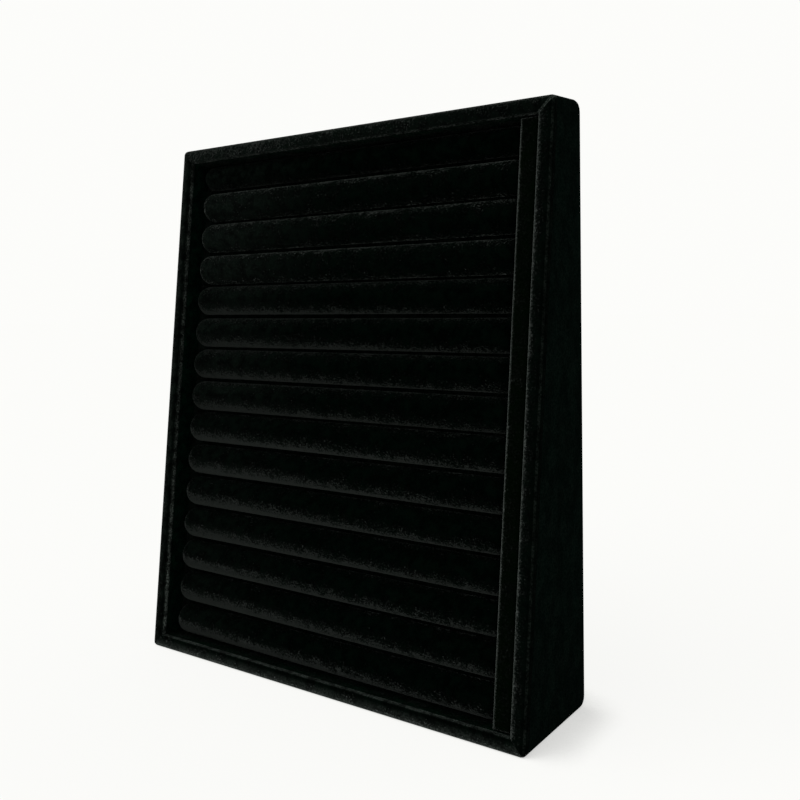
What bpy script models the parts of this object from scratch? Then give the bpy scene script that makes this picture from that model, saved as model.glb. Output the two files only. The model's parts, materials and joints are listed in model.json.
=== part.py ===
"""Velvet ring display stand: a wedge case, a recessed tray and a lift-out insert of padded rolls.

The world origin is the middle of the footprint, and the stand faces -Y.
The front leans back about the lower front edge of the case, where an empty carries all pieces.
The tray and the insert are placed in the frame of the leaning front:
X to the right, Y up the slope and Z straight out of the front face.
"""
from math import cos, pi, radians, sin

import bmesh
import bpy
from mathutils import Matrix, Vector

# Case, in metres
CASE_WIDTH = 0.250
FRONT_LENGTH = 0.300
LEAN = radians(7.0)
TOP_RISE = 0.0016
SPACE_BEHIND_TRAY = 0.007
CASE_BOARD = 0.0026
BACK_BOARD = 0.003
BACK_INSET = 0.001
EDGE_RADIUS = 0.0025
BACK_CORNER_RADIUS = 0.0055

# Rim and tray
TRAY_BOARD = 0.0047
FLOOR_BOARD = 0.0025
RIM_DEPTH = 0.0035
RIM_RADIUS = 0.0024

# Insert
INSERT_BOARD = 0.002
INSERT_PLAY = 0.0006
ROLL_PITCH = 0.0191
ROLL_SLOT = 0.0005
ROLL_HEIGHT = 0.0096
ROLL_CREST_DEPTH = 0.0045
ROLL_END_PLAY = 0.0053
ROLL_END_RADIUS = 0.006
END_RADIUS_LIMIT = 0.8
COVER_THICKNESS = 0.001
BATTEN_WIDTH = 0.0105
BATTEN_DEPTH = 0.003
BATTEN_RADIUS = 0.0015

# Gaps between pieces that touch on the real stand
FIT_GAP = 0.0003

# Tolerances and steps of the forms
WELD_DISTANCE = 0.00001
FLAT_ANGLE = radians(1)
SHARP_ANGLE = radians(40)
CORNER_STEPS = 4
EDGE_STEPS = 3
ROLL_STEPS = 14

# Sizes that follow from the driving dimensions
HALF_WIDTH = CASE_WIDTH / 2
HALF_FRONT = FRONT_LENGTH / 2
RIM_WIDTH = CASE_BOARD + FIT_GAP + TRAY_BOARD
OPENING_HALF_WIDTH = HALF_WIDTH - RIM_WIDTH
OPENING_BOTTOM = RIM_WIDTH
OPENING_TOP = FRONT_LENGTH - RIM_WIDTH
TRAY_FRONT = -(RIM_DEPTH + FIT_GAP)
ROLL_BASE = -(ROLL_CREST_DEPTH + ROLL_HEIGHT)
INSERT_FRONT = ROLL_BASE - FIT_GAP
INSERT_BACK = INSERT_FRONT - INSERT_BOARD
FLOOR_FRONT = INSERT_BACK - FIT_GAP
FLOOR_BACK = FLOOR_FRONT - FLOOR_BOARD
WALL_TOP = OPENING_TOP + TRAY_BOARD
INSERT_HALF_WIDTH = OPENING_HALF_WIDTH - INSERT_PLAY
INSERT_HALF_LENGTH = HALF_FRONT - RIM_WIDTH - INSERT_PLAY
BATTEN_LEFT = INSERT_HALF_WIDTH - BATTEN_WIDTH
ROLL_LEFT = ROLL_END_PLAY - OPENING_HALF_WIDTH
ROLL_RIGHT = BATTEN_LEFT - FIT_GAP
ROLL_COUNT = round(2 * INSERT_HALF_LENGTH / ROLL_PITCH)
TOP_ROLL_PITCH = 2 * INSERT_HALF_LENGTH - ROLL_PITCH * (ROLL_COUNT - 1)

# Directions and corners of the case, measured from its lower front edge
FRONT_FRAME = Matrix.Rotation(pi / 2 - LEAN, 4, "X")
FRONT_NORMAL = FRONT_FRAME.to_3x3() @ Vector((0, 0, 1))
FRONT_TOP = FRONT_FRAME @ Vector((0, FRONT_LENGTH, 0))
TRAY_BACK = FRONT_FRAME @ Vector((0, WALL_TOP, FLOOR_BACK))
BASE_DEPTH = TRAY_BACK.y + SPACE_BEHIND_TRAY + BACK_BOARD + BACK_INSET
BACK_TOP = Vector((0, BASE_DEPTH, FRONT_TOP.z + TOP_RISE))
BACK_BOTTOM = Vector((0, BASE_DEPTH, 0))
TOP_NORMAL = Vector((1, 0, 0)).cross(BACK_TOP - FRONT_TOP).normalized()

VELVET = (0.006, 0.006, 0.007)
VELVET_ROUGHNESS = 0.95
VELVET_SHEEN = 0.4
CARD = (0.012, 0.012, 0.013)
CARD_ROUGHNESS = 0.7
FOAM = (0.05, 0.05, 0.055)
FOAM_ROUGHNESS = 1.0


def clear_scene():
    """Remove every object, so that the stand is built in an empty scene."""
    for item in list(bpy.data.objects):
        bpy.data.objects.remove(item, do_unlink=True)


def make_material(name, colour, roughness, sheen):
    """Return a Principled material of one colour; velvet has sheen."""
    material = bpy.data.materials.new(name)
    material.use_nodes = True
    shader = material.node_tree.nodes["Principled BSDF"]
    shader.inputs["Base Color"].default_value = (*colour, 1)
    shader.inputs["Roughness"].default_value = roughness
    shader.inputs["Metallic"].default_value = 0
    shader.inputs["Sheen Weight"].default_value = sheen
    return material


def velvet(name):
    return make_material(name + "_velvet", VELVET, VELVET_ROUGHNESS, VELVET_SHEEN)


def card(name):
    return make_material(name + "_card", CARD, CARD_ROUGHNESS, 0)


def foam(name):
    return make_material(name + "_foam", FOAM, FOAM_ROUGHNESS, 0)


def add_object(name, bm, material, parent=None, location=(0, 0, 0)):
    """Turn a bmesh into a named object of the stand."""
    bmesh.ops.recalc_face_normals(bm, faces=bm.faces)
    mesh = bpy.data.meshes.new(name)
    bm.to_mesh(mesh)
    bm.free()
    mesh.materials.append(material)
    mesh.shade_smooth()
    mesh.set_sharp_from_angle(angle=SHARP_ANGLE)
    item = bpy.data.objects.new(name, mesh)
    item.parent = parent
    item.location = location
    STAND.objects.link(item)
    return item


def add_empty(name, parent=None, location=(0, 0, 0), rotation=(0, 0, 0)):
    """Add an empty that carries a group of pieces."""
    item = bpy.data.objects.new(name, None)
    item.parent = parent
    item.location = location
    item.rotation_euler = rotation
    STAND.objects.link(item)
    return item


def box_mesh(low, high):
    """Return a box between two corners."""
    bm = bmesh.new()
    bmesh.ops.create_cube(bm, size=1)
    low = Vector(low)
    high = Vector(high)
    centre = (low + high) / 2
    size = high - low
    bmesh.ops.transform(bm, matrix=Matrix.LocRotScale(centre, None, size), verts=bm.verts)
    return bm


def cut_away(bm, point, normal):
    """Remove what lies past a plane, on the side of its normal, and close the cut."""
    geometry = bm.verts[:] + bm.edges[:] + bm.faces[:]
    bmesh.ops.bisect_plane(
        bm, geom=geometry, dist=WELD_DISTANCE, plane_co=point, plane_no=normal, clear_outer=True
    )
    rim = [edge for edge in bm.edges if edge.is_boundary]
    bmesh.ops.holes_fill(bm, edges=rim, sides=0)


def round_edges(bm, edges, radius):
    """Round the given edges to a radius."""
    bmesh.ops.bevel(
        bm, geom=edges, offset=radius, segments=EDGE_STEPS, profile=0.5, affect="EDGES"
    )


def sharp_edges(bm):
    """Return the edges whose faces meet at a clear angle."""
    return [edge for edge in bm.edges if edge.is_manifold and edge.calc_face_angle() > SHARP_ANGLE]


def rounded_corner(corner, before, after, radius):
    """Return the points of an arc that rounds a corner of an outline."""
    to_before = (before - corner).normalized()
    to_after = (after - corner).normalized()
    half_angle = to_before.angle(to_after) / 2
    axis = (to_before + to_after).normalized()
    centre = corner + axis * radius / sin(half_angle)
    start = -axis
    turn = to_before.cross(to_after).normalized()
    sweep = pi - 2 * half_angle
    points = []
    for step in range(CORNER_STEPS + 1):
        angle = sweep * (0.5 - step / CORNER_STEPS)
        points.append(centre + Matrix.Rotation(angle, 3, turn) @ start * radius)
    return points


def side_outline():
    """Return the outline of the case from the side, as points of the YZ plane."""
    points = [Vector((0, 0, 0))]
    points += rounded_corner(BACK_BOTTOM, Vector((0, 0, 0)), BACK_TOP, BACK_CORNER_RADIUS)
    points += rounded_corner(BACK_TOP, BACK_BOTTOM, FRONT_TOP, BACK_CORNER_RADIUS)
    points.append(FRONT_TOP)
    return points


def case_block():
    """Return the whole wedge of the case as one solid with rounded edges."""
    outline = side_outline()
    curve = bpy.data.curves.new("side_outline", "CURVE")
    curve.dimensions = "2D"
    curve.fill_mode = "BOTH"
    curve.extrude = HALF_WIDTH
    spline = curve.splines.new("POLY")
    spline.points.add(len(outline) - 1)
    for point, place in zip(spline.points, outline):
        point.co = (place.y, place.z, 0, 1)
    spline.use_cyclic_u = True
    guide = bpy.data.objects.new("side_outline", curve)
    STAND.objects.link(guide)
    graph = bpy.context.evaluated_depsgraph_get()
    mesh = bpy.data.meshes.new_from_object(guide.evaluated_get(graph))
    bpy.data.objects.remove(guide, do_unlink=True)
    bm = bmesh.new()
    bm.from_mesh(mesh)
    bmesh.ops.remove_doubles(bm, verts=bm.verts, dist=WELD_DISTANCE)
    bmesh.ops.dissolve_limit(bm, angle_limit=FLAT_ANGLE, verts=bm.verts, edges=bm.edges)
    outline_to_world = Matrix(((0, 0, 1, 0), (1, 0, 0, 0), (0, 1, 0, 0), (0, 0, 0, 1)))
    bmesh.ops.transform(bm, matrix=outline_to_world, verts=bm.verts)
    bmesh.ops.recalc_face_normals(bm, faces=bm.faces)
    round_edges(bm, sharp_edges(bm), EDGE_RADIUS)
    return bm


def case_panel(name, outward, edge_point, neighbours, origin):
    """Cut one outer board from the case, mitred against the boards beside it."""
    bm = case_block()
    cut_away(bm, FRONT_FRAME @ Vector((0, 0, TRAY_FRONT)), FRONT_NORMAL)
    cut_away(bm, edge_point - outward * CASE_BOARD, -outward)
    for neighbour, corner in neighbours:
        across = (neighbour - outward).normalized()
        cut_away(bm, corner - across * FIT_GAP / 2, across)
    add_object(name, bm, velvet(name), origin)


def case_panels(origin):
    """Build the two sides, the top and the base of the case."""
    right = Vector((1, 0, 0))
    down = Vector((0, 0, -1))
    top_right = FRONT_TOP + right * HALF_WIDTH
    top_left = FRONT_TOP - right * HALF_WIDTH
    base_right = right * HALF_WIDTH
    base_left = -right * HALF_WIDTH
    beside_right = ((TOP_NORMAL, top_right), (down, base_right))
    beside_left = ((TOP_NORMAL, top_left), (down, base_left))
    case_panel("right_side_panel", right, top_right, beside_right, origin)
    case_panel("left_side_panel", -right, top_left, beside_left, origin)
    case_panel("top_panel", TOP_NORMAL, top_right, ((right, top_right), (-right, top_left)), origin)
    case_panel("base_panel", down, base_right, ((right, base_right), (-right, base_left)), origin)


def back_panel(origin):
    """Build the board that closes the back, set in between the other boards."""
    half_width = HALF_WIDTH - CASE_BOARD - FIT_GAP
    back = BASE_DEPTH - BACK_INSET
    bm = box_mesh(
        (-half_width, back - BACK_BOARD, CASE_BOARD + FIT_GAP), (half_width, back, BACK_TOP.z)
    )
    cut_away(bm, BACK_TOP - TOP_NORMAL * (CASE_BOARD + FIT_GAP), TOP_NORMAL)
    add_object("back_panel", bm, velvet("back_panel"), origin)


def rim_rail(name, outward, origin):
    """Cut one padded rail of the rim from the front of the case, with a mitre at each end."""
    along = Vector((outward.y, outward.x, 0))
    rotate = FRONT_FRAME.to_3x3()
    middle = Vector((0, HALF_FRONT, 0))
    half = Vector((HALF_WIDTH, HALF_FRONT, 0))
    outer_edge = middle + outward * abs(outward.dot(half))
    inner_edge = outer_edge - outward * RIM_WIDTH
    bm = case_block()
    cut_away(bm, FRONT_FRAME @ Vector((0, 0, -RIM_DEPTH)), -FRONT_NORMAL)
    cut_away(bm, FRONT_FRAME @ inner_edge, rotate @ -outward)
    inner_front = [
        edge
        for edge in sharp_edges(bm)
        if all(lies_on_edge(vert, outward, inner_edge) for vert in edge.verts)
    ]
    round_edges(bm, inner_front, RIM_RADIUS)
    for side in (along, -along):
        corner = outer_edge + side * abs(side.dot(half))
        across = (side - outward).normalized()
        cut_away(bm, FRONT_FRAME @ (corner - across * FIT_GAP / 2), rotate @ across)
    add_object(name, bm, velvet(name), origin)


def lies_on_edge(vert, outward, edge_point):
    """Tell whether a vertex lies on the inner front edge of a rail."""
    place = FRONT_FRAME.inverted() @ vert.co
    off_front = abs(place.z)
    off_side = abs((place - edge_point).dot(outward))
    return max(off_front, off_side) < WELD_DISTANCE


def rim(origin):
    """Build the four rails of the rim."""
    rim_rail("rim_left", Vector((-1, 0, 0)), origin)
    rim_rail("rim_right", Vector((1, 0, 0)), origin)
    rim_rail("rim_top", Vector((0, 1, 0)), origin)
    rim_rail("rim_bottom", Vector((0, -1, 0)), origin)


def tray(front_plane):
    """Build the walls and the floor of the recess behind the rim."""
    outer = OPENING_HALF_WIDTH + TRAY_BOARD
    wall_bottom = OPENING_BOTTOM + FIT_GAP
    inner = OPENING_HALF_WIDTH - FIT_GAP
    left = box_mesh((-outer, wall_bottom, FLOOR_BACK), (-OPENING_HALF_WIDTH, WALL_TOP, TRAY_FRONT))
    add_object("tray_wall_left", left, velvet("tray_wall_left"), front_plane)
    right = box_mesh((OPENING_HALF_WIDTH, wall_bottom, FLOOR_BACK), (outer, WALL_TOP, TRAY_FRONT))
    add_object("tray_wall_right", right, velvet("tray_wall_right"), front_plane)
    top = box_mesh((-inner, OPENING_TOP, FLOOR_BACK), (inner, WALL_TOP, TRAY_FRONT))
    add_object("tray_wall_top", top, velvet("tray_wall_top"), front_plane)
    bottom = box_mesh((-outer, 0, FLOOR_BACK), (outer, OPENING_BOTTOM, TRAY_FRONT))
    base_top = Vector((0, 0, CASE_BOARD + FIT_GAP))
    to_front_frame = FRONT_FRAME.inverted()
    down = to_front_frame.to_3x3() @ Vector((0, 0, -1))
    cut_away(bottom, to_front_frame @ base_top, down)
    add_object("tray_wall_bottom", bottom, velvet("tray_wall_bottom"), front_plane)
    floor = box_mesh(
        (-inner, OPENING_BOTTOM + FIT_GAP, FLOOR_BACK), (inner, OPENING_TOP - FIT_GAP, FLOOR_FRONT)
    )
    add_object("tray_floor", floor, card("tray_floor"), front_plane)


def half_round(half_width, height, length, end_radius):
    """Return a half-round bar along X with rounded ends, open at its flat underside."""
    bm = bmesh.new()
    bmesh.ops.create_cone(
        bm,
        cap_ends=True,
        segments=2 * ROLL_STEPS,
        radius1=half_width,
        radius2=half_width,
        depth=length,
    )
    bmesh.ops.rotate(bm, matrix=Matrix.Rotation(pi / 2, 3, "Y"), verts=bm.verts)
    geometry = bm.verts[:] + bm.edges[:] + bm.faces[:]
    bmesh.ops.bisect_plane(
        bm, geom=geometry, dist=WELD_DISTANCE, plane_co=(0, 0, 0), plane_no=(0, 0, -1), clear_outer=True
    )
    bmesh.ops.scale(bm, vec=(1, 1, height / half_width), verts=bm.verts)
    round_edges(bm, sharp_edges(bm), end_radius)
    return bm


def roll(number, insert, space, place):
    """Build one roll: a foam core, and the velvet cover that is wrapped over it."""
    cover_half_width = (space - ROLL_SLOT) / 2
    end_radius = min(ROLL_END_RADIUS, cover_half_width * END_RADIUS_LIMIT)
    length = ROLL_RIGHT - ROLL_LEFT
    cover_name = "roll_cover_%02d" % number
    core_name = "roll_core_%02d" % number
    cover_mesh = half_round(cover_half_width, ROLL_HEIGHT, length, end_radius)
    cover = add_object(cover_name, cover_mesh, velvet(cover_name), insert, place)
    wrap = cover.modifiers.new("wrap", "SOLIDIFY")
    wrap.thickness = COVER_THICKNESS
    wrap.offset = -1
    wrap.use_even_offset = True
    inset = COVER_THICKNESS + FIT_GAP
    core_mesh = half_round(
        cover_half_width - inset, ROLL_HEIGHT - inset, length - 2 * inset, end_radius - inset
    )
    underside = [edge for edge in core_mesh.edges if edge.is_boundary]
    bmesh.ops.holes_fill(core_mesh, edges=underside, sides=0)
    add_object(core_name, core_mesh, foam(core_name), insert, place)


def insert_pieces(insert):
    """Build the lift-out insert: its board, its rolls and the batten over their right ends."""
    board = box_mesh(
        (-INSERT_HALF_WIDTH, -INSERT_HALF_LENGTH, 0),
        (INSERT_HALF_WIDTH, INSERT_HALF_LENGTH, INSERT_BOARD),
    )
    add_object("insert_board", board, card("insert_board"), insert)
    seat = ROLL_BASE - INSERT_BACK
    batten_front = -BATTEN_DEPTH - INSERT_BACK
    batten = box_mesh(
        (BATTEN_LEFT, -INSERT_HALF_LENGTH, seat), (INSERT_HALF_WIDTH, INSERT_HALF_LENGTH, batten_front)
    )
    just_behind = batten_front - FIT_GAP
    front_edges = [
        edge for edge in batten.edges if min(vert.co.z for vert in edge.verts) > just_behind
    ]
    round_edges(batten, front_edges, BATTEN_RADIUS)
    add_object("end_batten", batten, velvet("end_batten"), insert)
    middle = (ROLL_LEFT + ROLL_RIGHT) / 2
    upper_edge = INSERT_HALF_LENGTH
    for number in range(1, ROLL_COUNT + 1):
        space = TOP_ROLL_PITCH if number == 1 else ROLL_PITCH
        roll(number, insert, space, (middle, upper_edge - space / 2, seat))
        upper_edge -= space


clear_scene()
STAND = bpy.data.collections.new("ring_display_stand")
bpy.context.scene.collection.children.link(STAND)
LOWER_FRONT_EDGE = add_empty("lower_front_edge", None, (0, -BASE_DEPTH / 2, 0))
FRONT_PLANE = add_empty("front_plane", LOWER_FRONT_EDGE, rotation=(pi / 2 - LEAN, 0, 0))
INSERT_SLIDE = add_empty("insert_slide", FRONT_PLANE, (0, HALF_FRONT, INSERT_BACK))
case_panels(LOWER_FRONT_EDGE)
back_panel(LOWER_FRONT_EDGE)
rim(LOWER_FRONT_EDGE)
tray(FRONT_PLANE)
insert_pieces(INSERT_SLIDE)
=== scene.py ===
"""Looks of the velvet display stand: padded rolls, wrapped boards, studio floor and light."""

from collections import namedtuple
from functools import cache
from math import cos, pi, radians, sin, sqrt
import json

import bmesh
import bpy
from mathutils import Matrix, Vector


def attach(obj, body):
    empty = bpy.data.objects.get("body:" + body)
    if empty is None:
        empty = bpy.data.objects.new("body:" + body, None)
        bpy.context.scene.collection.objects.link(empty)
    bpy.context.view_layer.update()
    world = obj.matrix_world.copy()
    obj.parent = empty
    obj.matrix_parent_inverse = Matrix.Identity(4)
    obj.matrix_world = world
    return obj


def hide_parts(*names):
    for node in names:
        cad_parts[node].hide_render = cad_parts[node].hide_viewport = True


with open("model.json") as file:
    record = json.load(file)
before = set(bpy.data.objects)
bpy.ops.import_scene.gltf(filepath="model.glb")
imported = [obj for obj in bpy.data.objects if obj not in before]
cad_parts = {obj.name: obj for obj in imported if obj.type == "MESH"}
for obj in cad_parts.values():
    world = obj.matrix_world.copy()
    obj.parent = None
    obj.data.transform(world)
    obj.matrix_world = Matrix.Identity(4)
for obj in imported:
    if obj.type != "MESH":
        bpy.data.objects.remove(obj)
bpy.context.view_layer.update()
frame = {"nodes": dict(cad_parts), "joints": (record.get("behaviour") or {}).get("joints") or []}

# Camera, worked out from the corners of the case
CAMERA_PLACE = (0.310567, -0.382926, 0.206295)
CAMERA_YAW = radians(35.4188)
CAMERA_PITCH = radians(-3.3363)
CAMERA_ROLL = radians(-1.0956)
CAMERA_SENSOR = 36
CAMERA_LENS = 41.0613
CAMERA_SHIFT_Y = -0.06271
CAMERA_NEAR = 0.01

# Directions of the leaning front, from the way the insert lifts out
OUTWARD = Vector(frame["joints"][0]["axis"]).normalized()
ACROSS = Vector((1, 0, 0))
UPSLOPE = OUTWARD.cross(ACROSS)
FRONT_AXES = Matrix((ACROSS, UPSLOPE, OUTWARD))

# The same directions and two more, given as across, up and out of the front
U_AXIS = (1, 0, 0)
S_AXIS = (0, 1, 0)
N_AXIS = (0, 0, 1)
LEFT_AXIS = (-1, 0, 0)
MITRE_AXIS = (-1, 1, 0)

# Form of the padded rolls
ROLL_NAMES = sorted(name for name in frame["nodes"] if name.startswith("roll_cover_"))
ROLL_SHRINK = 0.00025
ROLL_END_REACH = 0.0052
ROLL_END_SHARE = 0.56
ROLL_RING_STEP = 0.0016
ROLL_SECTION_STEPS = 18
ROLL_VOXEL = 0.0018

# Cloth simulation of the rolls
CLOTH_PRESSURE = 4
CLOTH_QUALITY = 5
CLOTH_FRAMES = 20
CLOTH_SWELL_CAP = 0.0006

# Cloth under the rim
LINING_SETBACK = 0.0012
LINING_REVEAL = 0.0004

# Velvet: colour and sheen
PILE_BASE = (0.0003, 0.001, 0.0006)
# PILE_LIT is the colour of the painted light and of the even lighter tone that the velvets add
PILE_LIT = (0.84, 1.0, 0.9)
SHEEN_ROUGHNESS = 0.3
SHEEN_TINT = (0.88, 1.0, 0.93, 1)

# Velvet: patches of disturbed pile, and its grain
PATCH_SCALE = 170
PATCH_DETAIL = 3
PATCH_ROUGHNESS = 0.65
PATCH_TURN = 1.2
GRAIN_SCALE = 1100
GRAIN_DETAIL = 2
GRAIN_ROUGHNESS = 0.5
GRAIN_TURN = 2.0
NOISE_MIDDLE = (0.5, 0.5, 0.5)
CLOUD_SPAN = (0.35, 0.7)
CLOUD_DARKER = 0.5
CLOUD_LIGHTER = 1.0
SMUDGE_SPAN = (0.38, 0.62)
SMUDGE_DEPTH = 0.7
SPECK_SPAN = (0.35, 0.65)
SPECK_RANGE = (0.2, 1.8)

# Velvet of the rolls: last roll of its kind, name, lean of both flanks, sheen and painted light at the
# left.
# The lean is the pile's brushing; the sheen and the painted light set how brightly each row catches the
# light.
ROLL_PILES = (
    # the top roll's low sheen is painted shade from the top rail
    (1, "velvet_roll_top_shaded", (0.1, 0.1), 0.02, 0.0012),
    (4, "velvet_roll_upper", (-0.12, 0.05), 0.1, 0.0018),
    (8, "velvet_roll_middle", (0.54, -0.1), 0.034, 0.0014),
    (15, "velvet_roll_lower", (0.68, 0.15), 0.046, 0.0006),
)
ROLL_LEFT_LIGHT_SPAN = (0.0, 0.1)
FLANK_SPAN = (-0.25, 0.35)
FADE_SPAN = (-0.125, 0.08)
FADE_RANGE = (1.9, 0.62)

# Painted highlights along the edges of the rim and where the cloth turns over an edge
FOLD_SPAN = (0.98, 0.88)
LIP_FACING = (0.9, 1.0)
LIP_DEPTH_LOW = (0.0042, 0.0018)
LIP_DEPTH_HIGH = (0.0002, 0.0015)
LIP_FOOT_SPAN = (0.15, 0.0)
LEFT_EDGE_SPAN = (-0.117, -0.1225)
BOTTOM_LIP_FACING = (0.6, 0.95)
BOTTOM_EDGE_SPAN = (0.0025, -0.0015)
MITRE_HALF_WIDTH = 0.0014

# Studio
BACKDROP = (0.976, 0.976, 0.957)
STUDIO_LEVEL = 0.62
LAMP_LEVEL = 1.5
LAMP_SPREAD = radians(60)
LAMP_TURN = (radians(30), radians(-25), 0)
FLOOR_HALF_SIZE = 8
FLOOR_GLOW = 0.9

# Shadow painted on the floor's glow beside the stand
SHADOW_SIDE = (-0.85, -0.5, 0.2)
SHADOW_REACH = 0.026
SHADOW_RANGE = (0.44, 0.82)
SHADOW_DEPTH = (0.66, 1.0)
SHADOW_SAMPLES = 6

Weave = namedtuple("Weave", "tree place normal patches grain")


def from_front(u, s, d):
    """Return the world point of a place given across, up and out of the leaning front."""
    return ACROSS * u + UPSLOPE * s + OUTWARD * d


def front_box(node):
    """Return the lowest and highest corner of a node along the directions of the front."""
    places = [FRONT_AXES @ vert.co for vert in frame["nodes"][node].data.vertices]
    low = Vector([min(place[axis] for place in places) for axis in range(3)])
    high = Vector([max(place[axis] for place in places) for axis in range(3)])
    return low, high


def add_camera():
    """Create the camera at the photograph's viewing angle."""
    data = bpy.data.cameras.new("camera")
    data.sensor_width = CAMERA_SENSOR
    data.sensor_fit = "HORIZONTAL"
    data.lens = CAMERA_LENS
    data.shift_y = CAMERA_SHIFT_Y
    data.clip_start = CAMERA_NEAR
    camera = bpy.data.objects.new("camera", data)
    forward = Vector((
        -sin(CAMERA_YAW) * cos(CAMERA_PITCH),
        cos(CAMERA_YAW) * cos(CAMERA_PITCH),
        sin(CAMERA_PITCH),
    ))
    right = Vector((cos(CAMERA_YAW), sin(CAMERA_YAW), 0))
    up = right.cross(forward)
    rolled_right = right * cos(CAMERA_ROLL) + up * sin(CAMERA_ROLL)
    rolled_up = up * cos(CAMERA_ROLL) - right * sin(CAMERA_ROLL)
    turn = Matrix((rolled_right, rolled_up, -forward)).transposed()
    camera.matrix_world = Matrix.Translation(CAMERA_PLACE) @ turn.to_4x4()
    bpy.context.scene.collection.objects.link(camera)
    bpy.context.scene.camera = camera


def add_mesh_object(name, bm):
    """Turn a bmesh into an object with smooth faces."""
    mesh = bpy.data.meshes.new(name)
    bm.to_mesh(mesh)
    bm.free()
    mesh.shade_smooth()
    item = bpy.data.objects.new(name, mesh)
    bpy.context.scene.collection.objects.link(item)
    return item


def apply_modifiers(item):
    """Replace an object's mesh by its evaluated mesh."""
    graph = bpy.context.evaluated_depsgraph_get()
    mesh = bpy.data.meshes.new_from_object(item.evaluated_get(graph))
    item.modifiers.clear()
    old = item.data
    item.data = mesh
    mesh.name = item.name
    bpy.data.meshes.remove(old)
    mesh.shade_smooth()


def remesh(item, voxel):
    """Rebuild an object's surface from even voxels."""
    modifier = item.modifiers.new("even", "REMESH")
    modifier.mode = "VOXEL"
    modifier.voxel_size = voxel
    apply_modifiers(item)


def end_share(reach):
    """Return how much of its full section a roll has at a distance from its end."""
    part = min(reach / ROLL_END_REACH, 1)
    return ROLL_END_SHARE + (1 - ROLL_END_SHARE) * sqrt(1 - (1 - part) ** 2)


def roll_form(name, low, high):
    """Return a half-round bar with domed ends, a little smaller than its solid."""
    length = high.x - low.x
    middle = (low.y + high.y) / 2
    half_width = (high.y - low.y) / 2 - ROLL_SHRINK
    height = high.z - low.z - ROLL_SHRINK
    steps = round(length / ROLL_RING_STEP)
    bm = bmesh.new()
    rings = []
    for index in range(steps + 1):
        u = low.x + length * index / steps
        share = end_share(min(u - low.x, high.x - u))
        ring = []
        for step in range(ROLL_SECTION_STEPS + 1):
            angle = pi * step / ROLL_SECTION_STEPS
            s = middle - half_width * share * cos(angle)
            d = low.z + height * share * sin(angle)
            ring.append(bm.verts.new(from_front(u, s, d)))
        rings.append(ring)
    for ring, following in zip(rings, rings[1:]):
        for step in range(ROLL_SECTION_STEPS):
            bm.faces.new((ring[step], ring[step + 1], following[step + 1], following[step]))
        bm.faces.new((ring[-1], ring[0], following[0], following[-1]))
    bm.faces.new(rings[0])
    bm.faces.new(reversed(rings[-1]))
    bmesh.ops.recalc_face_normals(bm, faces=bm.faces)
    return add_mesh_object(name, bm)


def inflate(item, base):
    """Swell a roll by cloth simulation; its flat underside stays where it is glued."""
    start = [vert.co.copy() for vert in item.data.vertices]
    glued = item.vertex_groups.new(name="glued")
    for vert in item.data.vertices:
        above = OUTWARD.dot(vert.co) - base
        glued.add([vert.index], 1.0 if above < ROLL_VOXEL else 0.0, "REPLACE")
    cloth = item.modifiers.new("cloth", "CLOTH")
    cloth.settings.use_pressure = True
    cloth.settings.uniform_pressure_force = CLOTH_PRESSURE
    cloth.settings.effector_weights.gravity = 0
    cloth.settings.vertex_group_mass = "glued"
    cloth.settings.quality = CLOTH_QUALITY
    cloth.collision_settings.use_collision = False
    scene = bpy.context.scene
    for number in range(1, CLOTH_FRAMES + 1):
        scene.frame_set(number)
    graph = bpy.context.evaluated_depsgraph_get()
    swollen = item.evaluated_get(graph).data
    moved = [vert.co.copy() for vert in swollen.vertices]
    item.modifiers.clear()
    scene.frame_set(1)
    for vert, first, last in zip(item.data.vertices, start, moved):
        move = last - first
        if move.length > CLOTH_SWELL_CAP:
            move = move * (CLOTH_SWELL_CAP / move.length)
        vert.co = first + move


def padded_roll(node):
    """Build the padded velvet roll that stands for a roll's cover and core."""
    number = node[-2:]
    low, high = front_box(node)
    roll = roll_form("padded_roll_" + number, low, high)
    remesh(roll, ROLL_VOXEL)
    inflate(roll, low.z)
    roll.modifiers.new("finer", "SUBSURF").levels = 1
    apply_modifiers(roll)
    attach(roll, "insert")
    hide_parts(node, "roll_core_" + number)
    return roll


def joint_lining():
    """Build the cloth glued under the rim, which closes the joint between the rim and the case."""
    left, right, bottom, top = (front_box("rim_" + side) for side in ("left", "right", "bottom", "top"))
    outer = (
        left[0].x + LINING_SETBACK, bottom[0].y + LINING_SETBACK,
        right[1].x - LINING_SETBACK, top[1].y - LINING_SETBACK,
    )
    inner = (
        left[1].x - LINING_REVEAL, bottom[1].y - LINING_REVEAL,
        right[0].x + LINING_REVEAL, top[0].y + LINING_REVEAL,
    )
    case_depth = front_box("right_side_panel")[1].z
    rim_depth = left[0].z
    bm = bmesh.new()
    loops = []
    for box, depth in ((outer, case_depth), (inner, case_depth), (inner, rim_depth), (outer, rim_depth)):
        u1, s1, u2, s2 = box
        places = ((u1, s1), (u2, s1), (u2, s2), (u1, s2))
        loops.append([bm.verts.new(from_front(u, s, depth)) for u, s in places])
    for one, two in zip(loops, loops[1:] + loops[:1]):
        for corner in range(4):
            bm.faces.new((one[corner - 1], one[corner], two[corner], two[corner - 1]))
    bmesh.ops.recalc_face_normals(bm, faces=bm.faces)
    lining = add_mesh_object("rim_lining", bm)
    lining.data.shade_flat()
    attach(lining, "case")
    return lining


def put(tree, value, socket):
    """Link a socket to another one, or set it to a fixed value."""
    if isinstance(value, bpy.types.NodeSocket):
        tree.links.new(value, socket)
    else:
        socket.default_value = value


def vector_node(tree, operation, *values):
    """Return the vector that a vector mathematics node gives for sockets or fixed vectors."""
    node = tree.nodes.new("ShaderNodeVectorMath")
    node.operation = operation
    for value, socket in zip(values, node.inputs):
        put(tree, value, socket)
    return node.outputs["Vector"]


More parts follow.
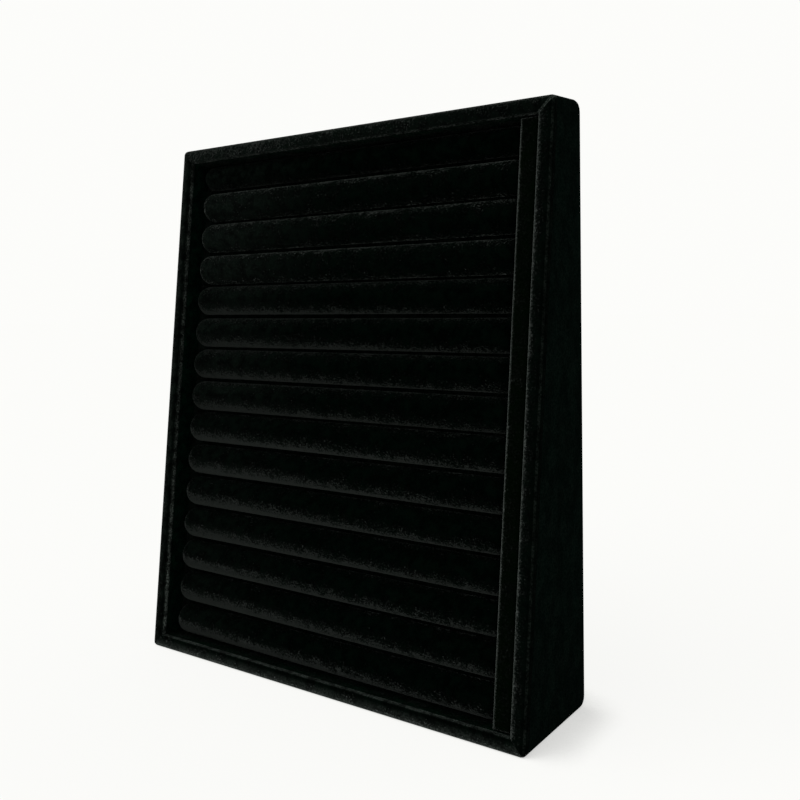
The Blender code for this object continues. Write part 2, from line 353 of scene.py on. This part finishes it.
def dot_node(tree, vector, direction):
    """Return how far a vector goes along a direction of the front."""
    node = tree.nodes.new("ShaderNodeVectorMath")
    node.operation = "DOT_PRODUCT"
    tree.links.new(vector, node.inputs[0])
    node.inputs[1].default_value = from_front(*direction)
    return node.outputs["Value"]


def scale_vector(tree, vector, share):
    """Return a fixed vector or colour times a changing share."""
    node = tree.nodes.new("ShaderNodeVectorMath")
    node.operation = "SCALE"
    node.inputs[0].default_value = vector
    tree.links.new(share, node.inputs["Scale"])
    return node.outputs["Vector"]


def math_node(tree, operation, *values):
    """Return the number that a mathematics node gives for sockets or fixed numbers."""
    node = tree.nodes.new("ShaderNodeMath")
    node.operation = operation
    for value, socket in zip(values, node.inputs):
        put(tree, value, socket)
    return node.outputs["Value"]


def map_range(tree, value, source, target):
    """Return a value carried smoothly from one range to another and kept inside it."""
    node = tree.nodes.new("ShaderNodeMapRange")
    node.interpolation_type = "SMOOTHSTEP"
    node.inputs["From Min"].default_value = source[0]
    node.inputs["From Max"].default_value = source[1]
    node.inputs["To Min"].default_value = target[0]
    node.inputs["To Max"].default_value = target[1]
    tree.links.new(value, node.inputs["Value"])
    return node.outputs["Result"]


def noise_node(tree, place, scale, detail, roughness):
    """Return a noise texture node."""
    node = tree.nodes.new("ShaderNodeTexNoise")
    node.inputs["Scale"].default_value = scale
    node.inputs["Detail"].default_value = detail
    node.inputs["Roughness"].default_value = roughness
    tree.links.new(place, node.inputs["Vector"])
    return node


def weave_nodes(tree, stretch):
    """Return the places, normals and noises that a velvet is made from."""
    place = tree.nodes.new("ShaderNodeTexCoord").outputs["Object"]
    normal = tree.nodes.new("ShaderNodeNewGeometry").outputs["Normal"]
    stretched = tree.nodes.new("ShaderNodeMapping")
    stretched.inputs["Scale"].default_value = [1 / size for size in stretch]
    tree.links.new(place, stretched.inputs["Vector"])
    patches = noise_node(tree, stretched.outputs["Vector"], PATCH_SCALE, PATCH_DETAIL, PATCH_ROUGHNESS)
    grain = noise_node(tree, place, GRAIN_SCALE, GRAIN_DETAIL, GRAIN_ROUGHNESS)
    return Weave(tree, place, normal, patches, grain)


def crown_turn(weave, direction, middle, half, amount, power):
    """Return the turn of the pile outwards from the middle line of a strip."""
    tree = weave.tree
    offset = math_node(tree, "SUBTRACT", dot_node(tree, weave.place, direction), middle)
    share = math_node(tree, "DIVIDE", offset, half)
    size = math_node(tree, "POWER", math_node(tree, "ABSOLUTE", share), power)
    turn = math_node(tree, "MULTIPLY", size, math_node(tree, "SIGN", share))
    return scale_vector(tree, from_front(*direction) * amount, turn)


def pile_direction(weave, brush, flanks, crown, rough):
    """Return where the pile points, which the shader takes for the normal."""
    tree = weave.tree
    axis = from_front(*brush)
    if flanks:
        lean = map_range(tree, dot_node(tree, weave.normal, S_AXIS), FLANK_SPAN, flanks)
        fade = map_range(tree, dot_node(tree, weave.place, U_AXIS), FADE_SPAN, FADE_RANGE)
        axis = scale_vector(tree, ACROSS, math_node(tree, "MULTIPLY", lean, fade))
    pile = vector_node(tree, "ADD", weave.normal, vector_node(tree, "CROSS_PRODUCT", axis, weave.normal))
    if crown:
        pile = vector_node(tree, "ADD", pile, crown_turn(weave, *crown))
    for noise, strength in ((weave.patches, PATCH_TURN), (weave.grain, GRAIN_TURN)):
        centred = vector_node(tree, "SUBTRACT", noise.outputs["Color"], NOISE_MIDDLE)
        pile = vector_node(tree, "MULTIPLY_ADD", centred, [strength * rough] * 3, pile)
    return vector_node(tree, "NORMALIZE", pile)


def squareness(tree, normal):
    """Return how nearly a normal lies along one of the directions of the front."""
    across, up, out = (
        math_node(tree, "ABSOLUTE", dot_node(tree, normal, axis)) for axis in (U_AXIS, S_AXIS, N_AXIS)
    )
    return math_node(tree, "MAXIMUM", math_node(tree, "MAXIMUM", across, up), out)


def pile_colour(weave, shade, lit, fold, rough):
    """Return the pile's colour: its own dark colour, painted light and highlights, and an even lighter
    tone.
    """
    tree = weave.tree
    patches = weave.patches.outputs["Fac"]
    cloud = map_range(tree, patches, CLOUD_SPAN, (1 - CLOUD_DARKER * rough, 1 + CLOUD_LIGHTER * rough))
    smudge = map_range(tree, patches, SMUDGE_SPAN, (1 - SMUDGE_DEPTH * rough, 1 + SMUDGE_DEPTH * rough))
    specks = map_range(tree, weave.grain.outputs["Fac"], SPECK_SPAN, SPECK_RANGE)
    uneven = math_node(tree, "MULTIPLY", specks, smudge)
    shares = []
    for amount, facing, *lying in lit:
        share = uneven
        for source, limits in ((weave.normal, facing), *((weave.place, limits) for limits in lying)):
            if limits:
                direction, start, full = limits
                along = map_range(tree, dot_node(tree, source, direction), (start, full), (0, 1))
                share = math_node(tree, "MULTIPLY", share, along)
        shares.append(math_node(tree, "MULTIPLY", share, amount))
    # painted highlight where the cloth turns over an edge
    if fold:
        folded = map_range(tree, squareness(tree, weave.normal), FOLD_SPAN, (0, fold))
        shares.append(math_node(tree, "MULTIPLY", folded, uneven))
    colour = scale_vector(tree, shade, cloud)
    for share in shares:
        colour = vector_node(tree, "ADD", colour, scale_vector(tree, PILE_LIT, share))
    return colour


def velvet(name, brush=(0, 0, 0), flanks=None, crown=None, sheen=0.08, lit=(), fold=0.0, rough=1.0,
           stretch=(1, 1, 1), shade=PILE_BASE):
    """Return black velvet whose pile is brushed along the surface.

    The pile leans as a turn about the brush direction leaves it, given across, up and out of the front.
    flanks gives that turn for the lower and the upper flank of a roll instead, and crown turns the pile
    outwards towards both edges of a strip. Each entry of lit gives an amount of lighter colour and limits
    it to where the cloth faces one way, unless that is None, and to where it lies: with a limit it is
    painted light, and with no limit an even lighter tone. A limit is a direction and the values at which
    the colour starts and is full. fold is the painted highlight where the cloth turns over an edge, rough
    is how disturbed the pile is, and stretch draws out its marks.
    """
    material = bpy.data.materials.new(name)
    material.use_nodes = True
    tree = material.node_tree
    shader = tree.nodes["Principled BSDF"]
    shader.inputs["Roughness"].default_value = 1.0
    shader.inputs["Specular IOR Level"].default_value = 0.0
    shader.inputs["Sheen Weight"].default_value = sheen
    shader.inputs["Sheen Roughness"].default_value = SHEEN_ROUGHNESS
    shader.inputs["Sheen Tint"].default_value = SHEEN_TINT
    weave = weave_nodes(tree, stretch)
    tree.links.new(pile_direction(weave, brush, flanks, crown, rough), shader.inputs["Normal"])
    tree.links.new(pile_colour(weave, shade, lit, fold, rough), shader.inputs["Base Color"])
    return material


def dress(item, material):
    """Give an object one material."""
    item.data.materials.clear()
    item.data.materials.append(material)


@cache
def brushed_and_lit_roll_velvet(name, flanks, sheen, left):
    """Return the velvet of the rolls that are brushed alike, with painted light towards their left ends.
    """
    return velvet(name, flanks=flanks, sheen=sheen, lit=[(left, None, (LEFT_AXIS, *ROLL_LEFT_LIGHT_SPAN))])


def roll_velvet(number):
    """Return a roll's velvet: the upper rolls' pile is brushed less, and the top roll's low sheen is
    painted shade.
    """
    for last, name, flanks, sheen, left in ROLL_PILES:
        if number <= last:
            return brushed_and_lit_roll_velvet(name, flanks, sheen, left)


def strip_crown(node, direction, amount, power):
    """Return the crown of a rail or batten, from the node's own edges along a direction of the front."""
    low, high = front_box(node)
    axis = direction.index(1)
    return direction, (low[axis] + high[axis]) / 2, (high[axis] - low[axis]) / 2, amount, power


def rail_velvets():
    """Return the velvet of each rail of the rim and of the batten."""
    front = front_box("rim_left")[1].z
    # Painted highlights: on the inner lip of the left rim, stronger towards its foot, on the outer edges
    # of the left and bottom rims, on the upward lip of the bottom rim and along the mitre seam of the top
    # and right rims
    lip = (
        (U_AXIS, *LIP_FACING),
        (N_AXIS, *(front - depth for depth in LIP_DEPTH_LOW)),
        (N_AXIS, *(front - depth for depth in LIP_DEPTH_HIGH)),
    )
    left_lip_highlight = (0.023, *lip)
    left_lip_foot_highlight = (0.027, *lip, (S_AXIS, *LIP_FOOT_SPAN))
    left_edge_highlight = (0.0038, None, (U_AXIS, *LEFT_EDGE_SPAN))
    bottom_lip_highlight = (0.014, (S_AXIS, *BOTTOM_LIP_FACING))
    bottom_edge_highlight = (0.008, None, (S_AXIS, *BOTTOM_EDGE_SPAN))
    # an even lighter tone over the whole top rim
    top_face = (0.0005, None)
    seam = front_box("rim_top")[0].y - front_box("rim_right")[0].x
    mitre_highlight = (
        0.028, None,
        (MITRE_AXIS, seam - MITRE_HALF_WIDTH, seam),
        (MITRE_AXIS, seam + MITRE_HALF_WIDTH, seam),
    )
    return {
        "rim_left": velvet(
            "velvet_rim_left", brush=(0, 0.05, 0), crown=strip_crown("rim_left", U_AXIS, 0.4, 1),
            sheen=0.06, lit=[left_lip_highlight, left_lip_foot_highlight, left_edge_highlight], fold=0.004,
        ),
        "rim_right": velvet(
            "velvet_rim_right", brush=(0, -0.4, 0), crown=strip_crown("rim_right", U_AXIS, 0.9, 2),
            sheen=0.12, lit=[mitre_highlight], fold=0.003, rough=0.8,
        ),
        "rim_top": velvet(
            "velvet_rim_top", brush=(0, -0.45, 0), crown=strip_crown("rim_top", S_AXIS, 0.3, 1),
            sheen=0.063, lit=[mitre_highlight, top_face], fold=0.003,
        ),
        "rim_bottom": velvet(
            "velvet_rim_bottom", brush=(0.4, 0, 0), crown=strip_crown("rim_bottom", S_AXIS, 0.8, 1),
            sheen=0.12, lit=[bottom_lip_highlight, bottom_edge_highlight], fold=0.004,
        ),
        "end_batten": velvet(
            "velvet_batten", brush=(0, -0.4, 0), crown=strip_crown("end_batten", U_AXIS, 1.0, 5),
            sheen=0.12, rough=0.6, shade=(0.0001, 0.0008, 0.0001),
        ),
    }


def dress_nodes():
    """Give the CAD nodes and the lining of the rim their materials."""
    plain = velvet("velvet_plain", lit=[(0.0012, None)], fold=0.004)
    side = velvet(
        "velvet_side", brush=(0, -0.22, 0), sheen=0.03, lit=[(0.0011, None)], fold=0.003, rough=0.4,
        stretch=(1, 1.4, 2), shade=(0.0002, 0.0017, 0.0011),
    )
    wall = velvet("velvet_wall", sheen=0.01, shade=(0.0003, 0.002, 0.001))
    # a lighter copy of the wall velvet: painted light on the tray's left wall, in the recess beside the
    # rolls
    lit_left_wall = velvet("velvet_left_wall_lit", sheen=0.02, shade=(0.0006, 0.0035, 0.0019))
    rails = rail_velvets()
    dress(joint_lining(), plain)
    for name, item in frame["nodes"].items():
        if name in rails:
            dress(item, rails[name])
        elif name in ("right_side_panel", "left_side_panel"):
            dress(item, side)
        elif name == "tray_wall_left":
            dress(item, lit_left_wall)
        elif name.startswith("tray_"):
            dress(item, wall)
        else:
            dress(item, plain)


def shown_rays(tree):
    """Return 1 for the rays that show the studio: from the camera, or by way of gloss or glass."""
    path = tree.nodes.new("ShaderNodeLightPath")
    share = math_node(tree, "MAXIMUM", path.outputs["Is Camera Ray"], path.outputs["Is Glossy Ray"])
    return math_node(tree, "MAXIMUM", share, path.outputs["Is Transmission Ray"])


def painted_floor_shadow(tree):
    """Return the painted shadow on the floor's glow, darker where the stand is near towards the left and
    front.
    """
    side = tree.nodes.new("ShaderNodeNormal")
    side.outputs["Normal"].default_value = Vector(SHADOW_SIDE).normalized()
    near = tree.nodes.new("ShaderNodeAmbientOcclusion")
    near.samples = SHADOW_SAMPLES
    near.inputs["Distance"].default_value = SHADOW_REACH
    tree.links.new(side.outputs["Normal"], near.inputs["Normal"])
    return map_range(tree, near.outputs["AO"], SHADOW_RANGE, SHADOW_DEPTH)


def add_floor():
    """Add the pale floor, which keeps the stand's shadow: a faint real one and a painted one on its glow.
    """
    bm = bmesh.new()
    bmesh.ops.create_grid(bm, x_segments=1, y_segments=1, size=FLOOR_HALF_SIZE)
    floor = add_mesh_object("floor", bm)
    material = bpy.data.materials.new("floor")
    material.use_nodes = True
    tree = material.node_tree
    shader = tree.nodes["Principled BSDF"]
    shader.inputs["Base Color"].default_value = (*BACKDROP, 1)
    shader.inputs["Roughness"].default_value = 1
    shader.inputs["Specular IOR Level"].default_value = 0
    glow = tree.nodes.new("ShaderNodeEmission")
    # the glow carries the painted shadow beside the stand
    tree.links.new(scale_vector(tree, BACKDROP, painted_floor_shadow(tree)), glow.inputs["Color"])
    mix = tree.nodes.new("ShaderNodeMixShader")
    tree.links.new(math_node(tree, "MULTIPLY", shown_rays(tree), FLOOR_GLOW), mix.inputs["Fac"])
    tree.links.new(shader.outputs["BSDF"], mix.inputs[1])
    tree.links.new(glow.outputs["Emission"], mix.inputs[2])
    tree.links.new(mix.outputs["Shader"], tree.nodes["Material Output"].inputs["Surface"])
    floor.data.materials.append(material)


def add_world():
    """Light the stand evenly from a pale studio, which the camera sees as near white."""
    world = bpy.data.worlds.new("studio")
    bpy.context.scene.world = world
    world.use_nodes = True
    tree = world.node_tree
    background = tree.nodes["Background"]
    background.inputs["Color"].default_value = (*BACKDROP, 1)
    strength = map_range(tree, shown_rays(tree), (0, 1), (STUDIO_LEVEL, 1))
    tree.links.new(strength, background.inputs["Strength"])


def add_lamp():
    """Add one large soft lamp high up at the left, which throws the shadow to the right."""
    data = bpy.data.lights.new("soft_lamp", "SUN")
    data.energy = LAMP_LEVEL
    data.angle = LAMP_SPREAD
    lamp = bpy.data.objects.new("soft_lamp", data)
    lamp.rotation_euler = LAMP_TURN
    bpy.context.scene.collection.objects.link(lamp)


add_camera()
dress_nodes()
for cover in ROLL_NAMES:
    dress(padded_roll(cover), roll_velvet(int(cover[-2:])))
add_floor()
add_world()
add_lamp()
bpy.context.scene.view_settings.view_transform = "Standard"
